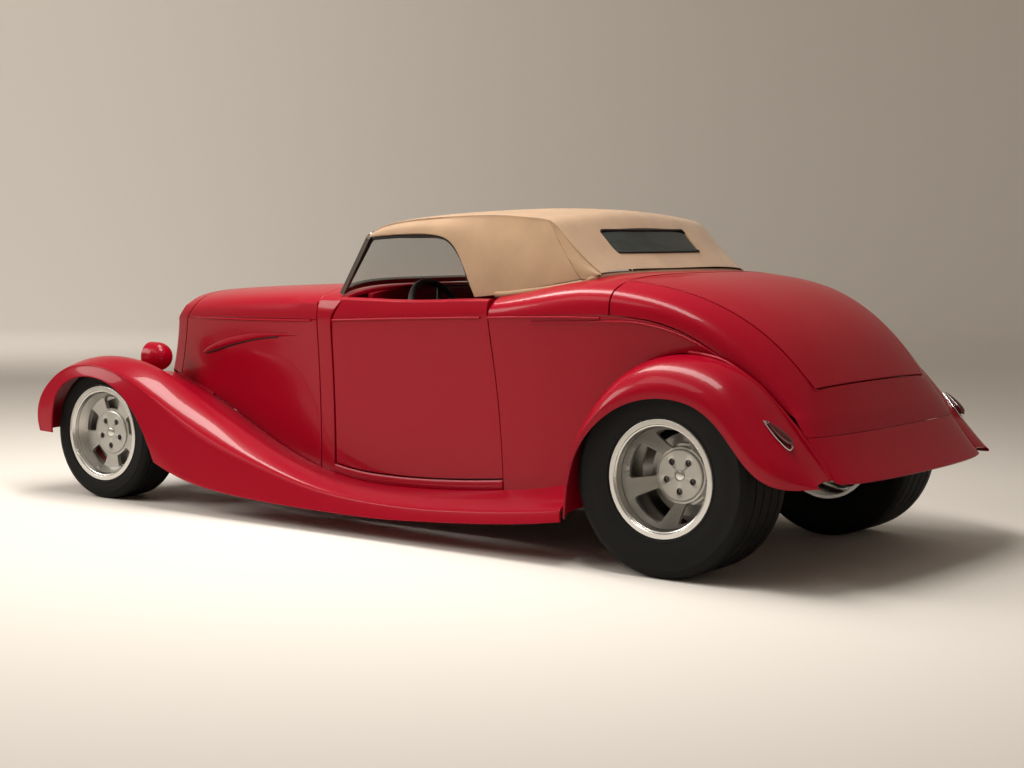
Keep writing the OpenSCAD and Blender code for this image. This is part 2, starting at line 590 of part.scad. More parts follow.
// ---- Quarters, deck and tail ----
function quarter_low(x) = max(sill_z(x) - 1, curve([
        [rear_x - 420, 570], [rear_x - 375, 625], [rear_x - 300, 698], [rear_x - 222, 751],
            [rear_x - 130, 781],
        [rear_x - 20, 788], [rear_x + 100, 768], [rear_x + 210, 706], [rear_x + 300, 606], [rear_x
            + 362, 486],
        [rear_x + 390, 346], [rear_x + 396, 100]], x) + rear_top);
quarter_stations = [door_rear_x, -660, mix(-660, rear_x + 470, 0.33), mix(-660, rear_x + 470, 0.66),
    rear_x + 470,
    rear_x + 394, rear_x + 362, rear_x + 300, rear_x + 210, rear_x + 100, rear_x - 20, rear_x - 130,
        rear_x - 222,
    rear_x - 300, rear_x - 362, rear_x - 398];
function quarter_top(x) = x > seam_x ? [x, belt_y(x), belt_z(x)]
    : let (s = tail_s(x)) curve(tail_belt, s);
// Station on the tail guide whose belt line lies at x
function tail_s(x, lo = 0, hi = 74) = hi - lo < 0.05 ? (lo + hi) / 2
    : let (m = (lo + hi) / 2) curve(tail_belt, m)[0] > x ? tail_s(x, m, hi) : tail_s(x, lo, m);
quarter_end_h = 5;
tail_joint_gap = 3.4;
groove_gap = 0.7;
function quarter_point(x0, f) = let (cut_x = door_rear(mix(0, 1, f)) - cut,
        x = x0 == door_rear_x ? cut_x : x0,
        top = quarter_top(x) - [0, 0, x > seam_x ? 3 * seat_gap : tail_joint_gap],
        low = min(quarter_low(x), top[2] - quarter_end_h),
        z = mix(low, top[2], f), u = (top[2] - z) / (top[2] - sill_z(x)))
    [x, top[1] - curve(tuck_keys, x) * u * (2 - u), z];
striker_gap = 0.4;
module quarter() {
    grid = [for (x = quarter_stations)
        [for (f = [0, 0.15, 0.35, 0.55, 0.75, 0.9, 1]) quarter_point(x, f)]];
    color(red) shell(grid, shift_grid(grid, [0, -panel_t * 1.6, 0]));
    // Striker that the closed door rests on
    edge = quarter_point(door_rear_x, 0.95);
    color(polished) translate([edge[0] + striker_gap, edge[1] - 16, edge[2] - 16])
        cube([cut - 2.4, 12, 16]);
}
module quarter_left() { quarter(); }
module quarter_right() { mirror([0, 1, 0]) quarter(); }

// Strip along each side of the cockpit and the panel behind it, in one piece
deck_angles = [0, 6, 14, 24, 35, lid_angle, 58, 70, 80, 90];
deck_full = concat(deck_angles, [for (a = reverse(deck_angles)) if (a < 90) 180 - a]);
function deck_point(x, a) = let (p = over(x, a < 90 ? a : 180 - a)) [p[0], a > 90 ? -p[1] : p[1], p[2]];
module deck_front() {
    xs = [door_rear_x - cut, mix(door_rear_x, top_base_x, 0.25), mix(door_rear_x, top_base_x, 0.5),
        mix(door_rear_x, top_base_x, 0.75), top_base_x, mix(top_base_x, seam_x, 0.5), seam_x + cut / 2];
    grid = [for (x = xs) [for (a = deck_full) deck_point(x, a)]];
    n = len(deck_full);
    color(red) shell(grid, inset_grid(grid, panel_t), [0, 3, 5, n - 6]);
    // Hinge plates under the front edge of the lid
    plate_z = over_z(seam_x + 20, 320) - panel_t - 0.7;
    color(dark) pair() {
        translate([seam_x + 6, 296, plate_z - 8]) cube([30, 24, 8]);
        translate([seam_x - 14, 296, plate_z - 11]) cube([26, 24, 8]);
    }
}

function tail_point(s, a) = let (p = tail(s, a < 90 ? a : 180 - a)) [p[0], a > 90 ? -p[1] : p[1], p[2]];
// Side cuts of the lid run inside the lid angle, and its lower cut at the lid end
module deck_rear() {
    ss = [lid_start, 10, 20, 30, 40, 50, lid_end, 67, 71, ridge_end];
    low = [for (a = deck_full) let (g = groove(a < 90 ? a : 180 - a)) [g[0], a > 90 ? -g[1] : g[1],
        g[2] + groove_gap]];
    grid = concat([for (s = ss) [for (a = deck_full) tail_point(s, a)]],
        [[for (i = [0:len(low) - 1]) mix(tail_point(ridge_end, deck_full[i]), low[i], 0.35)], low]);
    n = len(deck_full);
    color(red) shell(grid, inset_grid(grid, panel_t), [0, 6, 5, n - 6]);
}

module deck_lid() {
    inner_angles = [for (a = deck_full) if (a >= lid_angle && a <= 180 - lid_angle) a];
    trim = function (a) a == lid_angle ? a + 0.9 : a == 180 - lid_angle ? a - 0.9 : a;
    grid = [for (s = [lid_start, 10, 20, 30, 40, 50,
        lid_end - 0.5]) [for (a = inner_angles) tail_point(s, trim(a))]];
    color(red) shell(grid, inset_grid(grid, panel_t));
}

module rear_pan() {
    grid = [for (f = steps(4)) [for (a = deck_full) let (b = a < 90 ? a : 180 - a,
        g = groove(b) - [0, 0, groove_gap], p = pan_edge(b),
            q = mix(g, p, f) + [8 * f * (1 - f), 0, -12 * f * (1 - f)])
        [q[0], a > 90 ? -q[1] : q[1], q[2]]]];
    color(red) shell(grid, inset_grid(grid, fender_t));
}

// ---- Fenders ----
module front_fender() {
    grid = [for (t = front_stations) front_fender_row(t)];
    color(red) shell([for (row = grid) reverse(row)], inset_grid([for (row = grid) reverse(row)],
        fender_t));
}
module front_fender_left() { front_fender(); }
module front_fender_right() { mirror([0, 1, 0]) front_fender(); }

module rear_fender() {
    grid = [for (t = rear_stations) reverse(rear_fender_row(t))];
    color(red) shell(grid, inset_grid(grid, fender_t * 0.6));
}
module rear_fender_left() { rear_fender(); }
module rear_fender_right() { mirror([0, 1, 0]) rear_fender(); }

// ---- Lamps ----
lamp_r = 64;
lamp_at = [front_x + 25, fender_y(400), 598 + arch_h - 567];
lamp_front = 26;
lamp_foot = 1.4;
module headlights() {
    color(red) pair() translate(lamp_at) rotate([0, 90, 0]) rotate_extrude(angle = 360)
        polygon(concat([[0, -82]], [for (a = [12:13:90]) [lamp_r * sin(a), -12 - 70 * cos(a)]],
            [[lamp_r, lamp_front], [lamp_r - 6, lamp_front], [lamp_r - 6, 0], [0, -25]]));
    color(red) pair() translate(lamp_at - [0, 0, lamp_r + lamp_foot]) cylinder(h = lamp_foot + 10,
        r = 16);
}
module headlight_lenses() {
    color([0.9, 0.92, 0.95, 0.5]) pair() translate(lamp_at) rotate([0, 90,
        0]) rotate_extrude(angle = 360)
        polygon(concat([[0, lamp_front - 10]], [for (z = [-10, -2]) [lamp_r - 6 - seat_gap,
            lamp_front + z]],
            [for (f = [0.8, 0.6, 0.4, 0.2, 0]) [(lamp_r - 6) * f, lamp_front - 2 + 12 * (1 - f * f)]]));
}
// Teardrop lamps on the backs of the rear fenders
module tail_lights() {
    color("darkred") pair() translate([rear_x - 436, fender_y(716), 546 + rear_top]) rotate([0, 0,
        14]) rotate([0, 50, 0])
        rotate_extrude(angle = 360) polygon(concat([[0, -66]],
            [for (f = [0.12:0.11:1]) [15 * pow(sin(180 * pow(f, 0.62)), 0.8), -66 + 126 * f]], [[0,
                60]]));
}

// ---- Folding top ----
top_edge = [for (k = [
        [0, [112, 512, 1156]], [1, [60, 530, 1162]], [2, [-80, 548, 1172]], [3, [-215, 560, 1176]],
        [4, [-330, 568, 1160]], [5, [-400, 580, 1085]], [6, [-450, 596, 1005]], [7, [-490, 606, 952]],
        [8, [-640, 598, 968]], [9, [-780, 588, 990]], [10, [-880, 578, 1008]], [11, [-960, 560, 1026]],
        [12, [-1004, 530, 1046]]]) k];
top_rail = [for (k = [
        [0, [106, 482, 1182]], [1, [55, 496, 1205]], [2, [-80, 512, 1228]], [3, [-215, 518, 1240]],
        [4, [-330, 520, 1247]], [5, [-430, 524, 1251]], [6, [-520, 528, 1252]], [7, [-610, 530, 1250]],
        [8, [-700, 530, 1244]], [9, [-784, 528, 1235]], [10, [-850, 526, 1178]], [11, [-925, 522,
            1108]],
        [12, [-1004, 515, 1050]]]) k];
top_middle = [for (k = [
        [0, [112, 0, 1192]], [1, [58, 0, 1228]], [2, [-80, 0, 1254]], [3, [-215, 0, 1269]],
        [4, [-330, 0, 1277]], [5, [-430, 0, 1282]], [6, [-520, 0, 1284]], [7, [-610, 0, 1284]],
        [8, [-700, 0, 1281]], [9, [-792, 0, 1272]], [10, [-862, 0, 1202]], [11, [-935, 0, 1118]],
        [12, [-1010, 0, 1058]]]) k];
function top_guide(keys, t) = let (p = curve(keys, t), f = (p[2] - 940) / (1284 - 940))
    [p[0] < -500 ? mix(-500, top_base_x, (p[0] + 500) / -500) : p[0],
        p[1] * half_w / 690, p[2] + belt_h - 826 + max(f, 0) * (roof_h - 1284 - belt_h + 826)];
top_across = [0, 0.8, 1.6, 2.3, 2.75, 3.1, 3.7, 4.5, 5.35, 6.7, 8];
top_rows = [0, 0.6, 1.3, 2.1, 2.9, 3.6, 4.2, 4.8, 5.4, 6.1, 7, 8, 8.7, 9.15, 9.5, 9.9, 10.4, 10.95,
    11.5, 12];
window_rows = [15, 17];
window_columns = [8, 12];
// Lower edge of the fabric: it lies on the body behind the window opening
function top_foot(t) = let (p = top_guide(top_edge, t)) t < 6.9 ? p : [p[0], p[1], over_z(p[0],
    p[1]) + 4];
function top_row(t) = let (e = top_foot(t), r = top_guide(top_rail, t), m = top_guide(top_middle, t),
        k = [[0, e], [3, r], [8, m]], down = mix(e, r, 0.5) + [0, 10, 0], flat = mix(r, m, 0.45)
            + [0, 0, 6],
        half = [[0, e], [1.5, down], [2.75, r + [0, 1, -10]], [3.3, r + [0, -8, 1]], [5.5, flat], [8,
            m]])
    [for (v = top_across) curve(half, v)];
function top_grid(rows) = [for (t = rows) let (row = top_row(t))
    concat(row, [for (p = reverse(row)) if (p[1] > 1) [p[0], -p[1], p[2]]])];
// The lining stays level with the fabric along the lower edges
function top_lining(grid, t) = let (n = inset_grid(grid, t), lu = len(grid) - 1, lv = len(grid[0]) - 1)
    [for (u = [0:lu]) [for (v = [0:lv]) let (p = n[u][v])
        (v == 0 || v == lv || u == lu) && top_rows[u] > 6 ? [p[0], p[1], grid[u][v][2]] : p]];
module soft_top() {
    grid = top_grid(top_rows);
    color(tan) shell(grid, top_lining(grid, top_t), concat(window_rows, window_columns));
}
module rear_window() {
    grid = top_grid([for (u = [window_rows[0]:window_rows[1]]) top_rows[u]]);
    part = [for (row = grid) [for (v = [window_columns[0]:window_columns[1]]) row[v]]];
    middle = (part[0][2] + part[2][2]) / 2;
    pane = [for (row = part) [for (p = row) middle + (p - middle) * 0.985]];
    color([0.1, 0.12, 0.12]) shell(inset_grid(pane, 4), inset_grid(pane, 9));
}

// ---- Cabin ----
seat_y = floor_y - 30;
module seat() {
    base = floor_z + floor_t + seat_gap;
    color(dark) {
        translate([-645, -seat_y, base]) cube([495, 2 * seat_y, 215]);
        translate([-620, 0, base]) rotate([0, -9, 0]) translate([-125, -seat_y, 32]) cube([118,
            2 * seat_y, 540]);
    }
}
steer_at = [-118, 350, 838];
steer_tilt = 25;
column_r = 12;
module steering_column() {
    color(dark) {
        translate(steer_at) rotate([0, 90 + steer_tilt, 0]) {
            translate([0, 0, 30]) cylinder(h = 395, r = 22);
            translate([0, 0, 1]) cylinder(h = 35, r = column_r - running_fit);
        }
        translate([dash_x + 2, steer_at[1] - 14, dash_low - 66]) cube([20, 28, 66 - seat_gap]);
    }
}
module steering_wheel() {
    color(dark) translate(steer_at) rotate([0, 90 + steer_tilt, 0]) {
        rotate_extrude(angle = 360) translate([steer_wheel_d / 2 - 13, 0]) circle(r = 13);
        difference() {
            union() {
                translate([0, 0, -6]) cylinder(h = 30, r = 34);
                for (a = [0, 120, 240]) rotate([0, 0, a + 90]) translate([0, -12,
                    0]) cube([steer_wheel_d / 2 - 16, 24, 6]);
            }
            translate([0, 0, -1]) cylinder(h = 30, r = column_r);
        }
    }
}

// ---- Running gear ----
hub_l = 50;
kingpin_r = 11;
module front_axle() {
    color(dark) {
        translate([front_x, 75 - kingpin_y, front_r - 55]) rotate([-90, 0,
            0]) cylinder(h = 2 * kingpin_y - 150, r = 28);
        translate([front_x - 25, -280, spring_top - 22]) cube([50, 560, 22]);
        pair() {
            translate([front_x, kingpin_y - 75, front_r - 55]) sphere(r = 28, $fn = 48);
            translate([front_x, kingpin_y - 75, front_r - 55]) rotate([-50, 0, 0]) cylinder(h = 75,
                r = 15);
            translate([front_x, kingpin_y, front_r - 36]) cylinder(h = 72, r = 24);
            translate([front_x, kingpin_y, front_r - 62]) cylinder(h = 124, r = kingpin_r);
            radius_rod();
        }
    }
}
// Rod from the axle back to a foot on the frame rail
rod_l = 420;
module radius_rod() {
    from_y = kingpin_y - 215;
    to_y = rail_y(front_x - rod_l) + 22;
    translate([front_x, from_y, front_r - 55]) rotate([0, 0,
        atan((from_y - to_y) / rod_l)]) rotate([0, -90, 0])
        cylinder(h = rod_l, r = 11);
    translate([front_x - rod_l - 20, rail_y(front_x - rod_l - 20) + seat_gap,
        front_r - 80]) cube([40, 40, 50]);
}
module knuckle() {
    color("gray") {
        difference() {
            union() {
                for (z = [-60, 38]) translate([front_x, kingpin_y, front_r + z]) cylinder(h = 22,
                    r = 26);
                translate([front_x - 22, kingpin_y + 20, front_r - 60]) cube([44, 17, 120]);
            }
            translate([front_x, kingpin_y, front_r - 70]) cylinder(h = 140, r = kingpin_r
                + running_fit);
            translate([front_x, kingpin_y, front_r - 37.5]) cylinder(h = 75, r = 26.5);
        }
        translate([front_x, kingpin_y + 35, front_r]) rotate([-90, 0, 0]) cylinder(h = 60,
            r = spindle_r);
    }
}
module knuckle_left() { knuckle(); }
module knuckle_right() { mirror([0, 1, 0]) knuckle(); }

module rear_axle() {
    color(polished) {
        translate([rear_x, 175 - rear_face_y, rear_r]) rotate([-90, 0,
            0]) cylinder(h = 2 * rear_face_y - 350, r = 38);
        translate([rear_x, 0, rear_r]) sphere(r = 120, $fn = 64);
        translate([rear_x, 0, rear_r]) rotate([0, 90, 0]) cylinder(h = 230, r = 50);
        pair() {
            translate([rear_x - 35, rail_y(rear_x) - 45, rear_r]) cube([70, 40,
                kick_low - rear_r - seat_gap]);
            translate([rear_x, rear_face_y - 200, rear_r]) rotate([-90, 0, 0]) cylinder(h = 42,
                r = 112);
            translate([rear_x, rear_face_y - 176, rear_r]) rotate([-90, 0, 0]) cylinder(h = 80,
                r = spindle_r);
        }
    }
}

module tyre(r, w, rim_r) {
    inner = rim_r - 8.7;
    color([0.05, 0.05, 0.055]) rotate([-90, 0, 0]) rotate_extrude(angle = 360) polygon(concat(
        [[rim_r + seat_gap, 2], [rim_r + seat_gap, -8], [inner, -14.5], [inner, -w + 12], [rim_r
            + 10, -w - 2]],
        [for (a = [0:15:90]) [r - 28 + 28 * sin(a), -w + 18 - 18 * cos(a) - 2]],
        [for (a = [90:-15:0]) [r - 28 + 28 * sin(a), -16 + 18 * cos(a) + 2]],
        [[rim_r + 12, 5]]));
}
module rim(r, w, dish, bore_r) {
    color("silver") rotate([-90, 0, 0]) difference() {
        union() {
            rotate_extrude(angle = 360) polygon([[r, 0], [r, -8], [r - 9, -14], [r - 12, -w + 12],
                [r - 9, -w],
                [r - 22, -w], [r - 22, -dish - 30], [48, -dish - 24], [48, -dish - hub_l], [bore_r,
                    -dish - hub_l], [bore_r, -dish],
                [r * 0.42, -dish], [r * 0.5, -dish - 8], [r - 34, -dish - 10], [r - 20, -12],
                    [r - 10, 0]]);
        }
        for (a = [0:72:288]) rotate([0, 0, a + 90]) translate([r * 0.66, 0, -dish - 40])
            linear_extrude(60) polygon([[-26, -19], [20, -34], [20, 34], [-26, 19]]);
    }
}
module put_wheel(x, y, r, side) {
    translate([x, 0, r]) mirror([0, side < 0 ? 1 : 0, 0]) translate([0, y, 0]) children();
}
module tyre_front_left() { put_wheel(front_x, front_face_y, front_r, 1) tyre(front_r, front_tyre_w,
    front_rim_d / 2); }
module tyre_front_right() { put_wheel(front_x, front_face_y, front_r, -1) tyre(front_r, front_tyre_w,
    front_rim_d / 2); }
module tyre_rear_left() { put_wheel(rear_x, rear_face_y, rear_r, 1) tyre(rear_r, rear_tyre_w,
    rear_rim_d / 2); }
module tyre_rear_right() { put_wheel(rear_x, rear_face_y, rear_r, -1) tyre(rear_r, rear_tyre_w,
    rear_rim_d / 2); }
module wheel_front_left() { put_wheel(front_x, front_face_y, front_r, 1) rim(front_rim_d / 2,
    front_tyre_w, 26, spindle_r + running_fit); }
module wheel_front_right() { put_wheel(front_x, front_face_y, front_r, -1) rim(front_rim_d / 2,
    front_tyre_w, 26, spindle_r + running_fit); }
module wheel_rear_left() { put_wheel(rear_x, rear_face_y, rear_r, 1) rim(rear_rim_d / 2, rear_tyre_w,
    96, spindle_r + running_fit); }
module wheel_rear_right() { put_wheel(rear_x, rear_face_y, rear_r, -1) rim(rear_rim_d / 2,
    rear_tyre_w, 96, spindle_r + running_fit); }

translate([shift_x, 0, 0]) {
    chassis_frame();
    floor_pan();
    engine_block();
    grille_shell();
    grille_bars();
    hood_left();
    hood_right();
    hood_side_left();
    hood_side_right();
    cowl();
    windshield_frame();
    windshield_glass();
    door_left();
    door_right();
    sills();
    quarter_left();
    quarter_right();
    deck_front();
    deck_rear();
    deck_lid();
    rear_pan();
    front_fender_left();
    front_fender_right();
    rear_fender_left();
    rear_fender_right();
    headlights();
    headlight_lenses();
    tail_lights();
    soft_top();
    rear_window();
    seat();
    steering_column();
    steering_wheel();
    front_axle();
    knuckle_left();
    knuckle_right();
    rear_axle();
    tyre_front_left();
    tyre_front_right();
    tyre_rear_left();
    tyre_rear_right();
    wheel_front_left();
    wheel_front_right();
    wheel_rear_left();
    wheel_rear_right();
}
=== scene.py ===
import json
import math
import bmesh
import bpy
from mathutils import Matrix, Vector
from mathutils.bvhtree import BVHTree


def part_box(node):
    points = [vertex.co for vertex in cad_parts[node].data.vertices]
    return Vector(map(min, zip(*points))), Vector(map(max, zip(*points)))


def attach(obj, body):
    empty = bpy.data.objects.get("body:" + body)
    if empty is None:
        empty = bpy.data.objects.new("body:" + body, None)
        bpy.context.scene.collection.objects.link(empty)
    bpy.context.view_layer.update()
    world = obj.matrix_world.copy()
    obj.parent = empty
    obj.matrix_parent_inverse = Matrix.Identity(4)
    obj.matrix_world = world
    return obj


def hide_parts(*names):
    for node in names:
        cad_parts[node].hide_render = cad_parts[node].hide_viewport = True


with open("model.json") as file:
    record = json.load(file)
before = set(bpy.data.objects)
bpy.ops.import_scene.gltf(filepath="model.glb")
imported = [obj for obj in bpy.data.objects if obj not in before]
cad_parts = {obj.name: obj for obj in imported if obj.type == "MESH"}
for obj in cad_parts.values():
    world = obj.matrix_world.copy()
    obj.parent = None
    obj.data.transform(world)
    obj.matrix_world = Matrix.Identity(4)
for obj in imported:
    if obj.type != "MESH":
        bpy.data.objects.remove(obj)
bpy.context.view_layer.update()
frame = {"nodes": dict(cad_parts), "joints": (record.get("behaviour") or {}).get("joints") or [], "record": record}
nodes = frame["nodes"]
bodyOf = {node: body for body, names in frame["record"]["behaviour"]["bodies"].items() for node in names}
print("frame loaded,", len(nodes), "nodes")


# Materials
def newMaterial(name, color, roughness=0.5, metallic=0.0, coat=0.0, coatRoughness=0.03):
    material = bpy.data.materials.new(name)
    material.use_nodes = True
    shader = material.node_tree.nodes["Principled BSDF"]
    shader.inputs["Base Color"].default_value = (*color, 1)
    shader.inputs["Roughness"].default_value = roughness
    shader.inputs["Metallic"].default_value = metallic
    shader.inputs["Coat Weight"].default_value = coat
    shader.inputs["Coat Roughness"].default_value = coatRoughness
    return material


def addBump(material, kind, scale, strength, distance=0.001, detail=3):
    tree = material.node_tree
    coords = tree.nodes.new("ShaderNodeTexCoord")
    texture = tree.nodes.new(kind)
    bump = tree.nodes.new("ShaderNodeBump")
    texture.inputs["Scale"].default_value = scale
    texture.inputs["Detail"].default_value = detail
    bump.inputs["Strength"].default_value = strength
    bump.inputs["Distance"].default_value = distance
    tree.links.new(coords.outputs["Object"], texture.inputs["Vector"])
    tree.links.new(texture.outputs[0], bump.inputs["Height"])
    tree.links.new(bump.outputs["Normal"], tree.nodes["Principled BSDF"].inputs["Normal"])


redPaint = newMaterial("redPaint", (0.31, 0.0012, 0.013), roughness=0.3, coat=0.22, coatRoughness=0.03)
blackPaint = newMaterial("blackPaint", (0.015, 0.015, 0.016), roughness=0.38)
castMetal = newMaterial("castMetal", (0.11, 0.11, 0.115), roughness=0.6, metallic=0.6)
addBump(castMetal, "ShaderNodeTexNoise", 160, 0.35)
chrome = newMaterial("chrome", (0.86, 0.86, 0.87), roughness=0.06, metallic=1.0)
polished = newMaterial("polished", (0.66, 0.65, 0.62), roughness=0.27, metallic=1.0)
satinAlloy = newMaterial("satinAlloy", (0.50, 0.49, 0.46), roughness=0.38, metallic=1.0)
bronzeFrame = newMaterial("bronzeFrame", (0.055, 0.04, 0.032), roughness=0.34, metallic=0.5, coat=0.5)
sealRubber = newMaterial("sealRubber", (0.01, 0.01, 0.01), roughness=0.75)
tyreRubber = newMaterial("tyreRubber", (0.0045, 0.0042, 0.004), roughness=0.7)
addBump(tyreRubber, "ShaderNodeTexNoise", 420, 0.12)
for dull, level in ((redPaint, 0.1), (tyreRubber, 0.2)):
    dull.node_tree.nodes["Principled BSDF"].inputs["Specular IOR Level"].default_value = level
blackLeather = newMaterial("blackLeather", (0.022, 0.02, 0.019), roughness=0.5)
addBump(blackLeather, "ShaderNodeTexVoronoi", 420, 0.25)
redLens = newMaterial("redLens", (0.055, 0.0005, 0.002), roughness=0.12, coat=1.0)
# Painted shade: a near-black matte laid where only shade falls, as in the mouths of the hood outlets
paintedShadeBlack = newMaterial("paintedShadeBlack", (0.004, 0.004, 0.004), roughness=0.8)


def glassMaterial(name, color, alpha):
    material = newMaterial(name, color, roughness=0.02, coat=0.6)
    material.node_tree.nodes["Principled BSDF"].inputs["Alpha"].default_value = alpha
    return material


windshieldTint = glassMaterial("windshieldTint", (0.30, 0.42, 0.36), 0.24)
smokedGlass = glassMaterial("smokedGlass", (0.02, 0.03, 0.03), 0.72)
lampGlass = glassMaterial("lampGlass", (0.75, 0.78, 0.8), 0.35)

# Canvas: a fine weave from two crossed waves, with a faint mottle in its colour
canvasLook = {"color": (0.33, 0.205, 0.115), "threads": 900, "depth": 0.0006, "mottle": 9, "spread": 0.09}
canvas = newMaterial("canvas", canvasLook["color"], roughness=0.9)


def weave(material, look):
    tree = material.node_tree
    shader = tree.nodes["Principled BSDF"]
    shader.inputs["Sheen Weight"].default_value = 0.25
    coords = tree.nodes.new("ShaderNodeTexCoord")
    crossed = tree.nodes.new("ShaderNodeMath")
    crossed.operation = "MAXIMUM"
    for socket, direction in enumerate("XY"):
        wave = tree.nodes.new("ShaderNodeTexWave")
        wave.bands_direction = direction
        wave.inputs["Scale"].default_value = look["threads"]
        tree.links.new(coords.outputs["Object"], wave.inputs["Vector"])
        tree.links.new(wave.outputs["Fac"], crossed.inputs[socket])
    mottle = tree.nodes.new("ShaderNodeTexNoise")
    mottle.inputs["Scale"].default_value = look["mottle"]
    mottle.inputs["Detail"].default_value = 6
    tree.links.new(coords.outputs["Object"], mottle.inputs["Vector"])
    ramp = tree.nodes.new("ShaderNodeValToRGB")
    for place, (position, sign) in enumerate(((0.3, -1), (0.7, 1))):
        ramp.color_ramp.elements[place].position = position
        ramp.color_ramp.elements[place].color = (*(c * (1 + sign * look["spread"]) for c in look["color"]), 1)
    tree.links.new(mottle.outputs["Fac"], ramp.inputs["Fac"])
    tree.links.new(ramp.outputs["Color"], shader.inputs["Base Color"])
    bump = tree.nodes.new("ShaderNodeBump")
    bump.inputs["Strength"].default_value = 0.3
    bump.inputs["Distance"].default_value = look["depth"]
    tree.links.new(crossed.outputs["Value"], bump.inputs["Height"])
    tree.links.new(bump.outputs["Normal"], shader.inputs["Normal"])


weave(canvas, canvasLook)

slotMaterial = {
    "body_paint": redPaint, "frame_black": blackPaint, "engine_metal": castMetal, "chrome": chrome,
    "bronze_frame": bronzeFrame, "tinted_glass": windshieldTint, "lamp_glass": lampGlass,
    "tail_lens": redLens, "canvas": canvas, "dark_glass": smokedGlass, "leather": blackLeather,
    "grip_black": blackLeather, "axle_metal": satinAlloy, "tyre": tyreRubber, "wheel_metal": satinAlloy}
slotOf = {part["node"]: part["material_slot"] for part in frame["record"]["subparts"]}
for name, cadNode in nodes.items():
    cadNode.data.materials.clear()
    cadNode.data.materials.append(slotMaterial[slotOf[name]])
print("materials made")


# Shared tools
def finishPiece(bm, name, material, body, node=None, smooth=True, sharpAngle=35):
    mesh = bpy.data.meshes.new(name)
    for face in bm.faces:
        face.smooth = smooth
    for edge in bm.edges:
        if len(edge.link_faces) == 2:
            edge.smooth = edge.calc_face_angle(0) < math.radians(sharpAngle)
    bm.to_mesh(mesh)
    bm.free()
    mesh.materials.append(material)
    piece = bpy.data.objects.new(name, mesh)
    bpy.context.scene.collection.objects.link(piece)
    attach(piece, body)
    if node:
        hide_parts(node)
    return piece


def nodeCopy(node, joinAngle=40):
    bm = bmesh.new()
    bm.from_mesh(nodes[node].data)
    bmesh.ops.remove_doubles(bm, verts=bm.verts, dist=0.0001)
    bmesh.ops.join_triangles(bm, faces=bm.faces, angle_face_threshold=math.radians(joinAngle),
                             angle_shape_threshold=math.radians(120), topology_influence=1.2)
    return bm


# Glossy panels: the CAD shell with rounded rims, refined into a smooth surface
panelLook = {"rimRadius": 0.0022, "rimAngle": 38, "levels": 2}


def smoothPanel(node, material=redPaint, look=panelLook):
    bm = nodeCopy(node)
    rims = [edge for edge in bm.edges if edge.calc_face_angle(0) > math.radians(look["rimAngle"])]
    bmesh.ops.bevel(bm, geom=rims, offset=look["rimRadius"], affect="EDGES", segments=2, profile=0.5,
                    material=-1, clamp_overlap=True)
    piece = finishPiece(bm, node + "Skin", material, bodyOf[node], node, sharpAngle=180)
    refine = piece.modifiers.new("refine", "SUBSURF")
    refine.levels = refine.render_levels = look["levels"]
    return piece


paintedPanels = [
    "grille_shell", "hood_left", "hood_right", "hood_side_left", "hood_side_right", "cowl", "door_left",
    "door_right", "sills", "quarter_left", "quarter_right", "deck_front", "deck_rear", "deck_lid",
    "rear_pan", "front_fender_left", "front_fender_right", "rear_fender_left", "rear_fender_right"]
for node in paintedPanels:
    smoothPanel(node)
topLook = {"rimRadius": 0.003, "rimAngle": 50, "levels": 2}
smoothPanel("soft_top", canvas, topLook)
print("panels refined")


# Round pieces are spun about their own axle and then stood at their wheel
def spun(bm, profile, steps, closed=True):
    chain = [bm.verts.new((radius, 0, height)) for radius, height in profile]
    pairs = list(zip(chain, chain[1:])) + ([(chain[-1], chain[0])] if closed else [])
    edges = [bm.edges.new(pair) for pair in pairs]
    bmesh.ops.spin(bm, geom=chain + edges, cent=(0, 0, 0), axis=(0, 0, 1), angle=math.tau, steps=steps,
                   use_merge=True)
    bmesh.ops.remove_doubles(bm, verts=bm.verts, dist=0.00001)
    bmesh.ops.recalc_face_normals(bm, faces=bm.faces)


def applyModifiers(piece):
    graph = bpy.context.evaluated_depsgraph_get()
    mesh = bpy.data.meshes.new_from_object(piece.evaluated_get(graph))
    piece.modifiers.clear()
    piece.data = mesh


def bevelEdges(piece, width, angle=35, segments=2):
    bevel = piece.modifiers.new("softEdges", "BEVEL")
    bevel.width = width
    bevel.segments = segments
    bevel.limit_method = "ANGLE"
    bevel.angle_limit = math.radians(angle)


# Wheels: flat outer lip, deep barrel, and a disc with five windows and five lug wells
wheelLook = {
    "front": {"face": 0.740, "rim": 0.2075, "dish": 0.053, "windowIn": 0.103, "windowOut": 0.154,
              "halfAngle": 19, "outer": 0.052, "shoulder": 0.024, "rotor": 0.098},
    "rear": {"face": 0.760, "rim": 0.212, "dish": 0.135, "windowIn": 0.101, "windowOut": 0.168,
             "halfAngle": 24, "outer": 0.062, "shoulder": 0.036, "rotor": 0.190},
    "hub": 0.092, "lugCircle": 0.057, "lugWell": 0.0125, "disc": 0.016, "cornerRadius": 0.009,
    "windows": 5, "steps": 96}
tyreLook = {"grooves": (0.2, 0.4, 0.6, 0.8), "grooveWidth": 0.008, "grooveDepth": 0.006, "steps": 96}


def axleMatrix(corner, joints):
    joint = next(j for j in joints if j["name"] == "spin_" + corner)
    left = corner.endswith("left")
    face = wheelLook[corner.split("_")[0]]["face"] * (1 if left else -1)
    turn = Matrix.Rotation(math.radians(-90 if left else 90), 4, "X")
    return Matrix.Translation((joint["pos_m"][0], face, joint["pos_m"][2])) @ turn


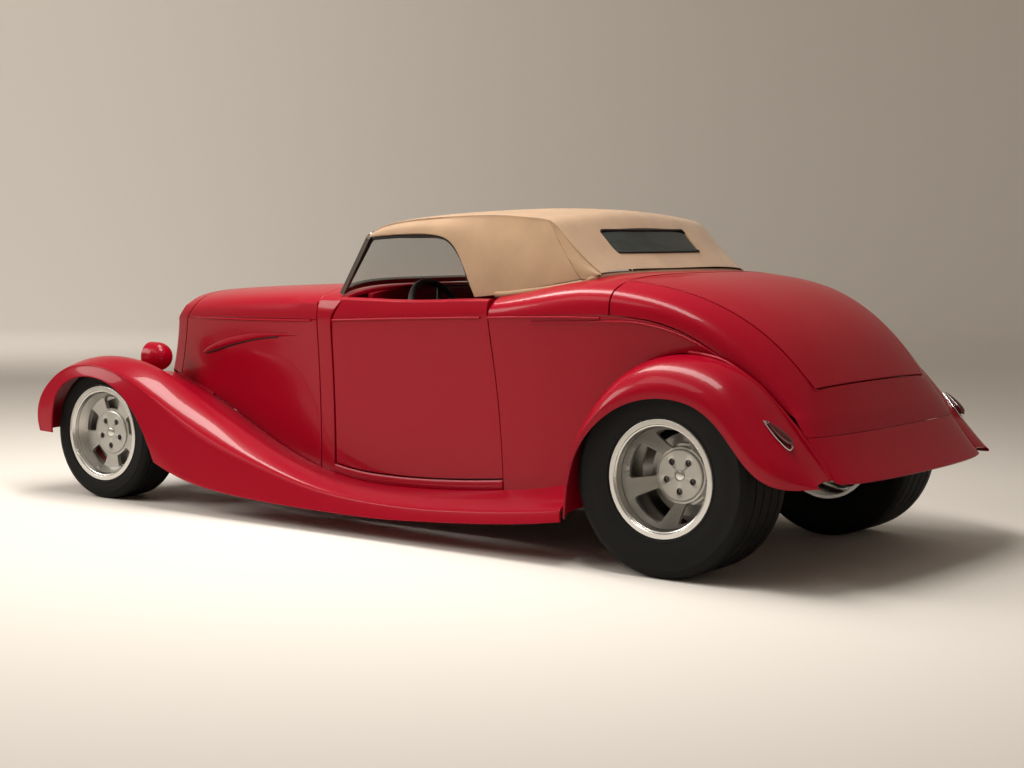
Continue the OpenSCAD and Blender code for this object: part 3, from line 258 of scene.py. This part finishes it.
def windowCutter(bm, look, middle, depth):
    half = math.radians(look["halfAngle"])
    inner, outer, low, high = look["windowIn"], look["windowOut"], depth - 0.09, depth + 0.12
    corners = [bm.verts.new((r, 0, z)) for r, z in ((inner, low), (outer, low), (outer, high), (inner, high))]
    face = bm.faces.new(corners)
    bmesh.ops.rotate(bm, verts=corners, cent=(0, 0, 0), matrix=Matrix.Rotation(middle - half, 3, "Z"))
    made = bmesh.ops.spin(bm, geom=[face] + face.edges[:] + corners, cent=(0, 0, 0), axis=(0, 0, 1),
                          angle=2 * half, steps=10)["geom_last"]
    ends = [face] + [g for g in made if isinstance(g, bmesh.types.BMFace)]
    sharp = {edge for end in ends for edge in end.edges
             if abs(edge.verts[0].co.z - edge.verts[1].co.z) > 0.01}
    bmesh.ops.bevel(bm, geom=list(sharp), offset=wheelLook["cornerRadius"], affect="EDGES", segments=4,
                    profile=0.5, material=-1)


def wheelPieces(corner):
    look = wheelLook[corner.split("_")[0]]
    place = axleMatrix(corner, frame["joints"])
    body = node = "wheel_" + corner
    upright = math.radians(-90 if corner.endswith("left") else 90)
    rim, dish, hub = look["rim"], look["dish"], wheelLook["hub"]
    low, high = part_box("tyre_" + corner)
    width = high.y - low.y - 0.008
    bm = bmesh.new()
    spun(bm, [(rim - 0.0215, -0.0020), (rim - 0.0195, 0), (rim - 0.004, 0), (rim - 0.001, -0.002),
              (rim, -0.007), (rim - 0.0095, -0.0135), (rim - 0.0125, 0.012 - width), (rim - 0.0095, -width),
              (rim - 0.0225, -width), (rim - 0.0235, -dish - 0.030), (rim - 0.040, -dish - 0.030),
              (rim - 0.034, -dish * 0.6 - 0.006), (rim - 0.0310, -0.0215), (rim - 0.0285, -0.0150),
              (rim - 0.0275, -0.0085), (rim - 0.023, -0.0065)], wheelLook["steps"])
    bm.transform(place)
    lip = finishPiece(bm, node + "Lip", polished, body, node, sharpAngle=28)
    bevelEdges(lip, 0.0006, 30)

    bm = bmesh.new()
    spun(bm, [(0.012, -dish), (hub - 0.004, -dish), (hub, -dish - 0.0025), (hub + 0.0015, -dish - 0.008),
              (look["windowIn"], -dish - 0.008), (look["windowOut"], -look["outer"] - 0.006),
              (rim - 0.033, -look["shoulder"]), (rim - 0.033, -look["shoulder"] - 0.018),
              (look["windowOut"], -look["outer"] - 0.024), (look["windowIn"], -dish - 0.025),
              (0.012, -dish - wheelLook["disc"] - 0.009)], 90)
    bm.transform(place)
    disc = finishPiece(bm, node + "Disc", satinAlloy, body, sharpAngle=28)
    bm = bmesh.new()
    wells = []
    for k in range(wheelLook["windows"]):
        middle = upright + math.radians(72 * k)
        windowCutter(bm, look, middle, -dish - 0.016)
        lug = middle + math.radians(36)
        circle = wheelLook["lugCircle"]
        spot = Vector((circle * math.cos(lug), circle * math.sin(lug), -dish))
        wells.append(spot)
        bmesh.ops.create_cone(bm, cap_ends=True, segments=24, radius1=wheelLook["lugWell"],
                              radius2=wheelLook["lugWell"], depth=0.036, matrix=Matrix.Translation(spot))
    bmesh.ops.recalc_face_normals(bm, faces=bm.faces)
    bm.transform(place)
    cutter = finishPiece(bm, node + "Cutter", paintedShadeBlack, body)
    cut = disc.modifiers.new("openings", "BOOLEAN")
    cut.object = cutter
    cut.solver = "EXACT"
    applyModifiers(disc)
    bpy.data.objects.remove(cutter)
    bevelEdges(disc, 0.0012, 40)

    bm = bmesh.new()
    for spot in wells:
        bmesh.ops.create_cone(bm, cap_ends=True, segments=6, radius1=0.0095, radius2=0.0085, depth=0.008,
                              matrix=Matrix.Translation(spot - Vector((0, 0, 0.0175))))
    bm.transform(place)
    nuts = finishPiece(bm, node + "Nuts", castMetal, body, sharpAngle=30)
    bevelEdges(nuts, 0.0005, 30)

    bm = bmesh.new()
    stem, reach = upright + math.radians(162), rim - 0.043
    foot = (reach * math.cos(stem), reach * math.sin(stem), -dish * 0.7)
    bmesh.ops.create_cone(bm, cap_ends=True, segments=12, radius1=0.0042, radius2=0.0032, depth=0.024,
                          matrix=Matrix.Translation(foot))
    spun(bm, [(0.0005, 0.0062 - dish), (0.010, 0.0058 - dish), (0.017, 0.0045 - dish),
              (0.0205, 0.0022 - dish), (0.0215, -dish - 0.004), (0.0005, -dish - 0.004)], 40)
    bm.transform(place)
    cap = finishPiece(bm, node + "Cap", polished, body, sharpAngle=60)

    back = -look["rotor"]
    bm = bmesh.new()
    spun(bm, [(0.055, back), (rim * 0.70, back), (rim * 0.70, back - 0.012), (0.055, back - 0.012)], 72)
    bm.transform(place)
    rotor = finishPiece(bm, node + "Rotor", satinAlloy, body, sharpAngle=30)
    bevelEdges(rotor, 0.0008)


# Knuckles and rear axle: the CAD pieces with their shaft ends drawn in behind the wheel discs
shaftEnds = {"knuckle_left": 0.664, "knuckle_right": 0.664, "rear_axle": 0.598}
for name, reach in shaftEnds.items():
    bm = nodeCopy(name)
    for vert in bm.verts:
        if abs(vert.co.y) > reach:
            vert.co.y = math.copysign(reach, vert.co.y)
    finishPiece(bm, name + "Turned", slotMaterial[slotOf[name]], bodyOf[name], name, sharpAngle=30)


def tyrePiece(corner):
    place = axleMatrix(corner, frame["joints"])
    node = "tyre_" + corner
    low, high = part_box(node)
    radius = (high.z - low.z) / 2
    width = high.y - low.y - 0.007
    rim = wheelLook[corner.split("_")[0]]["rim"]
    outside = [(rim + 0.0003, -0.010), (rim + 0.0008, 0.001), (rim + 0.004, 0.0040), (rim + 0.0095, 0.0046),
               (rim + 0.0115, 0.0030), (rim + 0.014, 0.0040), ((rim + radius) / 2, 0.0049),
               (radius - 0.034, 0.0044), (radius - 0.032, 0.0050), (radius - 0.027, 0.0050),
               (radius - 0.025, 0.0030), (radius - 0.014, -0.0012), (radius - 0.006, -0.0072),
               (radius - 0.0015, -0.0145)]
    tread = []
    for share in tyreLook["grooves"]:
        middle, half = -share * width, tyreLook["grooveWidth"] / 2
        deep = radius - tyreLook["grooveDepth"]
        tread += [(radius, middle + half), (deep, middle + half * 0.7), (deep, middle - half * 0.7),
                  (radius, middle - half)]
    inside = [(r, -width - h) for r, h in reversed(outside)]
    bm = bmesh.new()
    seat = [(rim - 0.005, 0.012 - width), (rim - 0.005, -0.016)]
    spun(bm, outside + tread + inside + seat, tyreLook["steps"])
    bm.transform(place)
    finishPiece(bm, node + "Rubber", tyreRubber, node.replace("tyre", "wheel"), node, sharpAngle=50)


for corner in ("front_left", "front_right", "rear_left", "rear_right"):
    wheelPieces(corner)
    tyrePiece(corner)
print("wheels and tyres made")

# Trim that follows a curve: a round bead laid on the panels, found by a ray from the side
beadLook = {"belt": 0.0042, "steps": 10, "rounding": 2, "tailDrop": 0.018}


def panelTree(names):
    bm = bmesh.new()
    for name in names:
        bm.from_mesh(nodes[name].data)
    tree = BVHTree.FromBMesh(bm)
    bm.free()
    return tree


def smoothLine(points, steps):
    line = []
    ends = [points[0]] + list(points) + [points[-1]]
    for a, b, c, d in zip(ends, ends[1:], ends[2:], ends[3:]):
        for k in range(steps):
            t = k / steps
            line.append(0.5 * (2 * b + (c - a) * t + (2 * a - 5 * b + 4 * c - d) * t * t
                               + (3 * b - a - 3 * c + d) * t ** 3))
    return line + [points[-1]]


def bead(name, line, radius, material, body):
    curve = bpy.data.curves.new(name, "CURVE")
    curve.dimensions = "3D"
    curve.bevel_depth = radius
    curve.bevel_resolution = beadLook["rounding"]
    curve.use_fill_caps = True
    path = curve.splines.new("POLY")
    path.points.add(len(line) - 1)
    for point, spot in zip(path.points, line):
        point.co = (*spot, 1)
    holder = bpy.data.objects.new(name + "Curve", curve)
    bpy.context.scene.collection.objects.link(holder)
    mesh = bpy.data.meshes.new_from_object(holder)
    bpy.data.objects.remove(holder)
    bpy.data.curves.remove(curve)
    mesh.materials.clear()
    mesh.materials.append(material)
    for face in mesh.polygons:
        face.use_smooth = True
    piece = bpy.data.objects.new(name, mesh)
    bpy.context.scene.collection.objects.link(piece)
    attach(piece, body)


def fromSide(tree, spot, side):
    return tree.ray_cast(Vector((spot.x, side * 1.2, spot.z)), Vector((0, -side, 0)))[:2]


def laidOn(tree, line, side, radius, sink):
    laid = []
    for spot in line:
        hit, normal = fromSide(tree, spot, side)
        if hit is None:
            continue
        if normal.y * side < 0:
            normal = -normal
        laid.append(hit + normal * radius * (1 - 2 * sink))
    return laid


beltLine = [(1.36, 0.779), (1.231, 0.783), (0.971, 0.791), (0.586, 0.808), (0.245, 0.828), (-0.036, 0.846),
            (-0.454, 0.870), (-0.831, 0.889), (-1.00, 0.893)]
tailLine = [(-0.70, 0.882), (-0.831, 0.889), (-1.082, 0.902), (-1.20, 0.893), (-1.311, 0.864), (-1.42, 0.815),
            (-1.552, 0.732), (-1.672, 0.632)]


def panelBead(name, flatLine, panel, side, radius, drop=0.0, margin=0.003, sink=0.12):
    low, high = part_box(panel)
    tree = panelTree([panel])
    line = smoothLine([Vector((x, 0, z - drop)) for x, z in flatLine], beadLook["steps"])
    line = [spot for spot in line if low.x + margin < spot.x < high.x - margin]
    if len(line) < 3:
        return
    laid = laidOn(tree, line, side, radius, sink)
    kept = laid[:1]
    for spot in laid[1:]:
        if abs(spot.y - kept[-1].y) < 0.03:
            kept.append(spot)
    if len(kept) > 2:
        bead(name, kept, radius, redPaint, bodyOf[panel])


for side, label in ((1, "left"), (-1, "right")):
    for panel in ("hood_side_" + label, "cowl", "door_" + label, "quarter_" + label):
        panelBead("beltBead_" + panel + label, beltLine, panel, side, beadLook["belt"])
    for panel in ("quarter_" + label, "deck_rear"):
        panelBead("tailBead_" + panel + label, tailLine, panel, side, beadLook["belt"],
                  drop=beadLook["tailDrop"])


# Welting where the rear fenders meet the body and where the front fenders meet the hood sides
weltLook = {"rear": 0.0085, "front": 0.0075}
rearWelt = [(-1.340, 0.636, 0.795), (-1.388, 0.634, 0.790), (-1.450, 0.636, 0.780), (-1.502, 0.634, 0.762),
            (-1.566, 0.630, 0.724), (-1.609, 0.621, 0.692), (-1.652, 0.612, 0.650), (-1.689, 0.602, 0.614),
            (-1.723, 0.598, 0.579), (-1.754, 0.597, 0.547), (-1.778, 0.599, 0.519), (-1.816, 0.598, 0.475),
            (-1.854, 0.601, 0.431), (-1.884, 0.612, 0.394)]
frontWelt = [(1.556, 0.242, 0.506), (1.433, 0.291, 0.484), (1.320, 0.327, 0.464), (1.240, 0.352, 0.446)]
for side, label in ((1, "left"), (-1, "right")):
    line = smoothLine([Vector((x, side * (y - 0.004), z - 0.008)) for x, y, z in rearWelt], 5)
    bead("fenderWelt_" + label, line, weltLook["rear"], redPaint, "root")
    line = smoothLine([Vector((x, side * (y + 0.002), z)) for x, y, z in frontWelt], 5)
    bead("hoodWelt_" + label, line, weltLook["front"], redPaint, "root")

# Hem of the folding top: a stuffed roll that closes the joint to the deck
hemRoll = [(-0.470, 0.592, 0.957), (-0.528, 0.590, 0.961), (-0.668, 0.580, 0.981), (-0.767, 0.570, 0.998),
           (-0.842, 0.552, 1.015), (-0.876, 0.520, 1.033), (-0.882, 0.40, 1.040), (-0.886, 0.2, 1.043),
           (-0.888, 0.0, 1.044)]
hemLook = {"tube": 0.0145, "drop": 0.003}
around = [Vector(spot) for spot in hemRoll] + [Vector((x, -y, z)) for x, y, z in reversed(hemRoll[:-1])]
hemLine = [spot - Vector((0, 0, hemLook["drop"])) for spot in smoothLine(around, 6)]
bead("topHem", hemLine, hemLook["tube"], canvas, "root")

# Hood side outlets: a long pressed leaf, with a dark bead of painted shade under it for the shaded mouth at its
# front end
outletLook = {"rear": (0.563, 0, 0.748), "front": (1.330, 0, 0.628), "height": 0.026, "rise": 0.030,
              "lift": 0.019, "slot": 0.0045}
for side, label in ((1, "left"), (-1, "right")):
    skin = panelTree(["hood_side_" + label])
    bm = bmesh.new()
    bmesh.ops.create_uvsphere(bm, u_segments=40, v_segments=20, radius=1,
                              matrix=Matrix.Rotation(math.pi / 2, 4, "Y"))
    start, end = Vector(outletLook["front"]), Vector(outletLook["rear"])
    length = (end - start).length
    along = (end - start).normalized()
    for vert in bm.verts:
        share = 0.5 + 0.5 * vert.co.x
        swell = outletLook["height"] * (1 - 0.75 * share)
        rise = outletLook["rise"] * math.sin(math.pi * share) + vert.co.z * swell
        spot = start + along * length * share + Vector((0, 0, rise))
        hit = fromSide(skin, spot, side)[0]
        base = hit.y if hit else 0
        vert.co = Vector((spot.x, base + vert.co.y * outletLook["lift"] * (1 - 0.6 * share), spot.z))
    bmesh.ops.recalc_face_normals(bm, faces=bm.faces)
    leaf = finishPiece(bm, "hoodOutlet_" + label, redPaint, "root", sharpAngle=180)
    # Painted shade: a dark bead along the leaf's lower edge, where the outlet's mouth lies in shade
    under = []
    for k in range(1, 20):
        share = k / 24
        edge = outletLook["height"] * (1 - 0.75 * share) * math.sqrt(max(0.0, 1 - (k / 12 - 1) ** 2))
        rise = outletLook["rise"] * math.sin(math.pi * share) - edge
        under.append(start + along * length * k / 24 + Vector((0, 0, rise)))
    mouthShade = laidOn(skin, under, side, outletLook["slot"], 0.35)
    bead("outletShadow_" + label, mouthShade, outletLook["slot"], paintedShadeBlack, "root")


# Tail lights: a chrome teardrop bezel round the red lens
bezelLook = {"along": 0.066, "wide": 0.0165, "tube": 0.0032, "lift": 0.0026}
for side, label in ((1, "left"), (-1, "right")):
    lensVerts = [v.co for v in nodes["tail_lights"].data.vertices if v.co.y * side > 0]
    bottom, top = min(lensVerts, key=lambda co: co.z), max(lensVerts, key=lambda co: co.z)
    middle, along = (bottom + top) / 2, (top - bottom).normalized()
    skin = panelTree(["rear_fender_" + label])
    normal = skin.find_nearest(middle + Vector((-0.02, side * 0.03, 0.02)))[1]
    if normal.y * side < 0:
        normal = -normal
    wide = along.cross(normal).normalized()
    ring = []
    for k in range(40):
        turn = math.tau * k / 40
        share = 0.5 + 0.5 * math.cos(turn)
        swell = math.sin(math.pi * min(1, 0.08 + share * 0.92) ** 0.62) ** 0.8 if 0 < share < 1 else 0
        flat = middle + along * bezelLook["along"] * math.cos(turn) + wide * math.copysign(
            bezelLook["wide"] * abs(swell), math.sin(turn))
        spot, around = skin.find_nearest(flat)[:2]
        if around.y * side < 0:
            around = -around
        ring.append(spot + around * bezelLook["lift"])
    bead("tailBezel_" + label, ring + ring[:1], bezelLook["tube"], chrome, "root")

# Rear window: black rubber round the pane
rearWindow = {"half": 0.302, "top": 1.201, "bottom": 1.118, "round": 0.016, "tube": 0.0048, "lift": 0.002}
paneTree = panelTree(["rear_window", "soft_top"])
corner = rearWindow["round"]
outline = []
for cy, cz, start in ((1, 1, 0), (-1, 1, 90), (-1, -1, 180), (1, -1, 270)):
    edge = rearWindow["top"] if cz > 0 else rearWindow["bottom"]
    for k in range(5):
        turn = math.radians(start + 22.5 * k)
        outline.append(Vector((0, cy * (rearWindow["half"] - corner) + corner * math.cos(turn),
                               edge - cz * corner + corner * math.sin(turn))))
outline.append(outline[0])
filled = []
for a, b in zip(outline, outline[1:]):
    filled += [a.lerp(b, k / 12) for k in range(12)] if (a - b).length > 0.05 else [a]
border = []
for spot in filled:
    hit = paneTree.ray_cast(Vector((-1.4, spot.y, spot.z)), Vector((1, 0, 0)))[0]
    if hit:
        border.append(hit + Vector((-rearWindow["lift"], 0, 0)))
bead("rearWindowRubber", border + border[:1], rearWindow["tube"], sealRubber, "root")

# Side windows of the folding top: a black inner seal, and a piping down the rear seam
sealLook = {"tube": 0.0062, "seam": 0.0026, "seamLift": 0.0004}
sideEdge = [(0.214, 0.500, 1.150), (0.1726, 0.522, 1.154), (0.0326, 0.540, 1.164), (-0.1024, 0.552, 1.168),
            (-0.206, 0.560, 1.154), (-0.282, 0.571, 1.085), (-0.332, 0.588, 1.005), (-0.372, 0.598, 0.952)]
for side, label in ((1, "left"), (-1, "right")):
    line = smoothLine([Vector((x + 0.004, side * (y - 0.010), z - 0.002)) for x, y, z in sideEdge], 8)
    bead("windowSeal_" + label, line, sealLook["tube"], sealRubber, "root")

    crease = [Vector((-0.668, side * 0.531, 1.236)), Vector((-0.720, side * 0.545, 1.164)),
              Vector((-0.775, side * 0.56, 1.099)), Vector((-0.827, side * 0.57, 1.039)),
              Vector((-0.868, side * 0.575, 1.005))]
    topTree = panelTree(["soft_top"])
    seam = []
    for spot in smoothLine(crease, 8):
        hit = topTree.find_nearest(spot)[0]
        seam.append(hit + (spot - hit).normalized() * sealLook["seamLift"])
    bead("topSeam_" + label, seam, sealLook["seam"], canvas, "root")
print("beads, bezels and seals laid")

# Seat: two crowned leather cushions with stitched channels, shaped by moving vertices of a rounded block
seatLook = {"channels": 9, "groove": 0.010, "crown": 0.018, "round": 14,
            "base": {"size": (0.485, 0.885, 0.200), "at": (-0.2845, 0, 0.367), "lean": 0},
            "back": {"size": (0.115, 0.885, 0.500), "at": (-0.610, 0, 0.560), "lean": -9}}


def seatCushion(name, part, facing):
    bm = bmesh.new()
    bmesh.ops.create_cube(bm, size=1)
    bmesh.ops.subdivide_edges(bm, edges=bm.edges, cuts=36, use_grid_fill=True)
    for _ in range(seatLook["round"]):
        bmesh.ops.smooth_vert(bm, verts=bm.verts, factor=0.5, use_axis_x=True, use_axis_y=True,
                              use_axis_z=True)
    low, high = min(v.co.x for v in bm.verts), max(v.co.x for v in bm.verts)
    for vert in bm.verts:
        share = vert.co / (high - low)
        out = share[facing] * 2
        across = math.cos(math.pi * share.y) * math.cos(math.pi * share[2 - facing])
        stitch = abs(math.cos(math.pi * seatLook["channels"] * share.y)) ** 8
        swell = (seatLook["crown"] * max(0.0, across)
                 - seatLook["groove"] * stitch * min(1, 6 * max(0.0, across)))
        size = Vector([s * share[k] for k, s in enumerate(part["size"])])
        if out > 0.6:
            size[facing] += swell - seatLook["crown"]
        vert.co = size
    place = Matrix.Translation(part["at"]) @ Matrix.Rotation(math.radians(part["lean"]), 4, "Y")
    bm.transform(place)
    cushion = finishPiece(bm, name, blackLeather, "root", "seat", sharpAngle=180)


seatCushion("seatBase", seatLook["base"], 2)
seatCushion("seatBack", seatLook["back"], 0)
print("seat shaped")

# Stage: a round room, whose pale floor curves up into its wall, with soft lights
room = {"floorColor": (0.80, 0.76, 0.71), "floorRadius": 12.5, "sweep": 4.0, "height": 9.0}
view = {"eye": (-4.85762, 6.491, 1.2699), "yaw": -0.94, "pitch": -0.0884, "roll": 0.0154, "lens": 68.85}
level = math.cos(view["pitch"])
forward = Vector((level * math.cos(view["yaw"]), level * math.sin(view["yaw"]), math.sin(view["pitch"])))
right = Vector((math.sin(view["yaw"]), -math.cos(view["yaw"]), 0))
up = right.cross(forward)
across = math.cos(view["roll"]) * right + math.sin(view["roll"]) * up
upward = math.cos(view["roll"]) * up - math.sin(view["roll"]) * right


def buildStage():
    bm = bmesh.new()
    centre = bm.verts.new((0, 0, 0))
    rim = bm.verts.new((room["floorRadius"], 0, 0))
    floor = bm.edges.new((centre, rim))
    bmesh.ops.subdivide_edges(bm, edges=[floor], cuts=5)
    rim = max(bm.verts, key=lambda v: v.co.x)
    bmesh.ops.spin(bm, geom=[rim], cent=(room["floorRadius"], 0, room["sweep"]), axis=(0, 1, 0),
                   angle=math.radians(-90), steps=16)
    top = max(bm.verts, key=lambda v: v.co.z)
    raised = bmesh.ops.extrude_vert_indiv(bm, verts=[top])["verts"][0]
    raised.co.z += room["height"]
    bmesh.ops.spin(bm, geom=bm.verts[:] + bm.edges[:], cent=(0, 0, 0), axis=(0, 0, 1), angle=math.tau,
                   steps=96, use_merge=True)
    bmesh.ops.remove_doubles(bm, verts=bm.verts, dist=0.0001)
    for face in bm.faces:
        face.smooth = True
    mesh = bpy.data.meshes.new("stage")
    bm.to_mesh(mesh)
    bm.free()
    stage = bpy.data.objects.new("stage", mesh)
    bpy.context.scene.collection.objects.link(stage)
    mesh.materials.append(newMaterial("stagePaper", room["floorColor"], roughness=0.85))


buildStage()


def softLight(name, place, target, size, power):
    lamp = bpy.data.lights.new(name, "AREA")
    lamp.shape = "RECTANGLE"
    lamp.size, lamp.size_y = size
    lamp.energy = power
    lamp.color = (1, 0.96, 0.9)
    holder = bpy.data.objects.new(name, lamp)
    holder.location = place
    holder.rotation_euler = (Vector(target) - Vector(place)).to_track_quat("-Z", "Y").to_euler()
    bpy.context.scene.collection.objects.link(holder)


lights = {  # place, target, size in metres, power in watts
    "overheadStrip": ((0.2, 0.6, 3.4), (0, 0.2, 0.6), (4.6, 0.7), 170),
    "frontLeftBox": ((5.0, 3.5, 3.2), (0.5, 0, 0.6), (3.0, 2.0), 150),
    "floorWash": ((1.5, 4.5, 4.5), (0, 3.0, 0), (4.0, 2.0), 70),
    "backdropWash": ((8.0, -4.0, 5.0), (13.9, -8.0, 2.0), (4.0, 2.5), 240)}
for name, values in lights.items():
    softLight(name, *values)

world = bpy.data.worlds.new("softRoom")
world.use_nodes = True
background = world.node_tree.nodes["Background"]
background.inputs["Color"].default_value = (0.60, 0.54, 0.47, 1)
background.inputs["Strength"].default_value = 0.45
bpy.context.scene.world = world

cameraData = bpy.data.cameras.new("mainCamera")
cameraData.lens = view["lens"]
cameraData.sensor_width = 36
camera = bpy.data.objects.new("mainCamera", cameraData)
rotation = Matrix((across, upward, -forward)).transposed().to_4x4()
camera.matrix_world = Matrix.Translation(view["eye"]) @ rotation
bpy.context.scene.collection.objects.link(camera)
bpy.context.scene.camera = camera
bpy.context.scene.view_settings.view_transform = "Standard"
print("stage, lights and camera placed")
